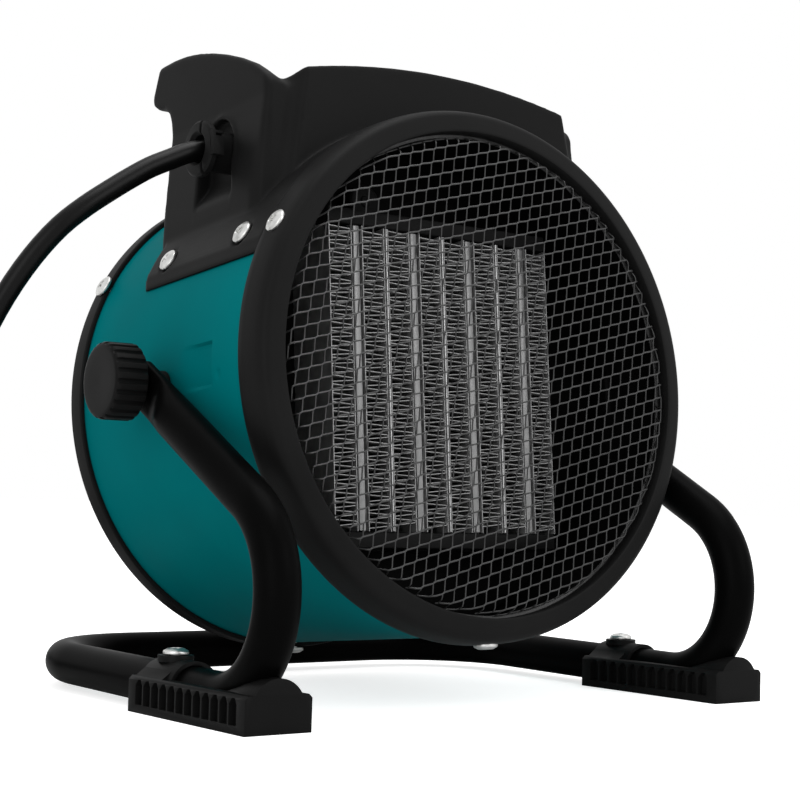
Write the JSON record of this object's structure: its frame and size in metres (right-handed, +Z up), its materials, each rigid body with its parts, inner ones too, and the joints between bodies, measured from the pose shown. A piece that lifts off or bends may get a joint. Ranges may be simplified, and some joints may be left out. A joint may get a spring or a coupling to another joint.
{
  "type": "ceramic fan heater",
  "caption": "Round drum fan heater with a ceramic element behind a wire net, a plastic top housing and a bent tube stand that it tilts in, held by two clamp knobs.",
  "frame": {"origin": "on the floor under the middle of the stand", "axes": "+Z up, +Y towards the rear, so the heater blows towards -Y, +X to the right of someone who looks along +Y"},
  "size_m": [0.3623, 0.3241, 0.2523],
  "materials": {
    "teal_paint": "gloss teal powder coat on sheet steel",
    "tube_paint": "semi-gloss black powder coat on steel tube",
    "black_plastic": "finely textured black moulded plastic",
    "dark_steel": "black coated steel wire and sheet",
    "zinc": "bright zinc plated steel",
    "aluminium": "bare aluminium fins and contact strips",
    "white_plastic": "off-white moulded plastic",
    "amber_lens": "clear amber plastic lens",
    "cord_rubber": "satin black rubber sheath"
  },
  "bodies": {
    "stand": {"stand_tube": "tube_paint", "left_shoe": "black_plastic", "right_shoe": "black_plastic", "left_shoe_screw": "zinc", "right_shoe_screw": "zinc", "cord_lead": "cord_rubber", "cord_coil": "cord_rubber", "plug": "cord_rubber"},
    "heater": {"drum_shell": "teal_paint", "front_ring": "black_plastic", "rear_ring": "black_plastic", "front_net": "dark_steel", "rear_grille": "dark_steel", "top_housing": "black_plastic", "control_panel": "black_plastic", "thermostat": "black_plastic", "mode_switch": "black_plastic", "indicator_lens": "amber_lens", "terminal_block": "white_plastic", "cable_gland": "black_plastic", "element_top_bracket": "black_plastic", "element_bottom_bracket": "black_plastic", "baffle_plate": "dark_steel", "thermal_cutout": "black_plastic", "fan_motor": "zinc", "motor_bracket": "zinc", "left_pivot_washer": "black_plastic", "left_nut_plate": "zinc", "housing_screw_left_front": "zinc", "housing_screw_left_rear": "zinc", "right_pivot_washer": "black_plastic", "right_nut_plate": "zinc", "housing_screw_right_front": "zinc", "housing_screw_right_rear": "zinc", "front_ring_screw_left": "zinc", "rear_ring_screw_left": "zinc", "front_ring_screw_right": "zinc", "rear_ring_screw_right": "zinc", "front_ring_screw_bottom": "zinc", "rear_ring_screw_bottom": "zinc", "fin_column_1": "aluminium", "fin_column_2": "aluminium", "fin_column_3": "aluminium", "fin_column_4": "aluminium", "fin_column_5": "aluminium", "fin_column_6": "aluminium", "fin_column_7": "aluminium", "fin_column_8": "aluminium", "ptc_bar_1": "aluminium", "ptc_bar_2": "aluminium", "ptc_bar_3": "aluminium", "ptc_bar_4": "aluminium", "contact_strip_1": "aluminium", "contact_strip_2": "aluminium", "contact_strip_3": "aluminium"},
    "fan": {"fan_rotor": "black_plastic"},
    "left_clamp_knob": {"left_knob": "black_plastic"},
    "right_clamp_knob": {"right_knob": "black_plastic"},
    "thermostat_knob": {"thermostat_dial": "black_plastic"},
    "mode_knob": {"mode_dial": "black_plastic"}
  },
  "joints": [
    {"name": "heater_tilt", "type": "hinge", "parent": "stand", "child": "heater", "pos_m": [0, 0.00275, 0.1183], "axis": [-1, 0, 0], "range_deg": [-12, 8], "deforming": ["cord_lead"]},
    {"name": "fan_spin", "type": "hinge", "parent": "heater", "child": "fan", "pos_m": [0, 0.00936, 0.11919], "axis": [0, 0.9957, -0.0929], "continuous": true},
    {"name": "left_knob_turn", "type": "hinge", "parent": "heater", "child": "left_clamp_knob", "pos_m": [-0.112, 0.00275, 0.1183], "axis": [-1, 0, 0], "range_deg": [0, 360]},
    {"name": "right_knob_turn", "type": "hinge", "parent": "heater", "child": "right_clamp_knob", "pos_m": [0.112, 0.00275, 0.1183], "axis": [1, 0, 0], "range_deg": [0, 360]},
    {"name": "thermostat_turn", "type": "hinge", "parent": "heater", "child": "thermostat_knob", "pos_m": [0.049, 0.05115, 0.21723], "axis": [0, 0.9957, -0.0929], "range_deg": [0, 270]},
    {"name": "mode_turn", "type": "hinge", "parent": "heater", "child": "mode_knob", "pos_m": [-0.049, 0.05115, 0.21723], "axis": [0, 0.9957, -0.0929], "range_deg": [0, 120]}
  ]
}
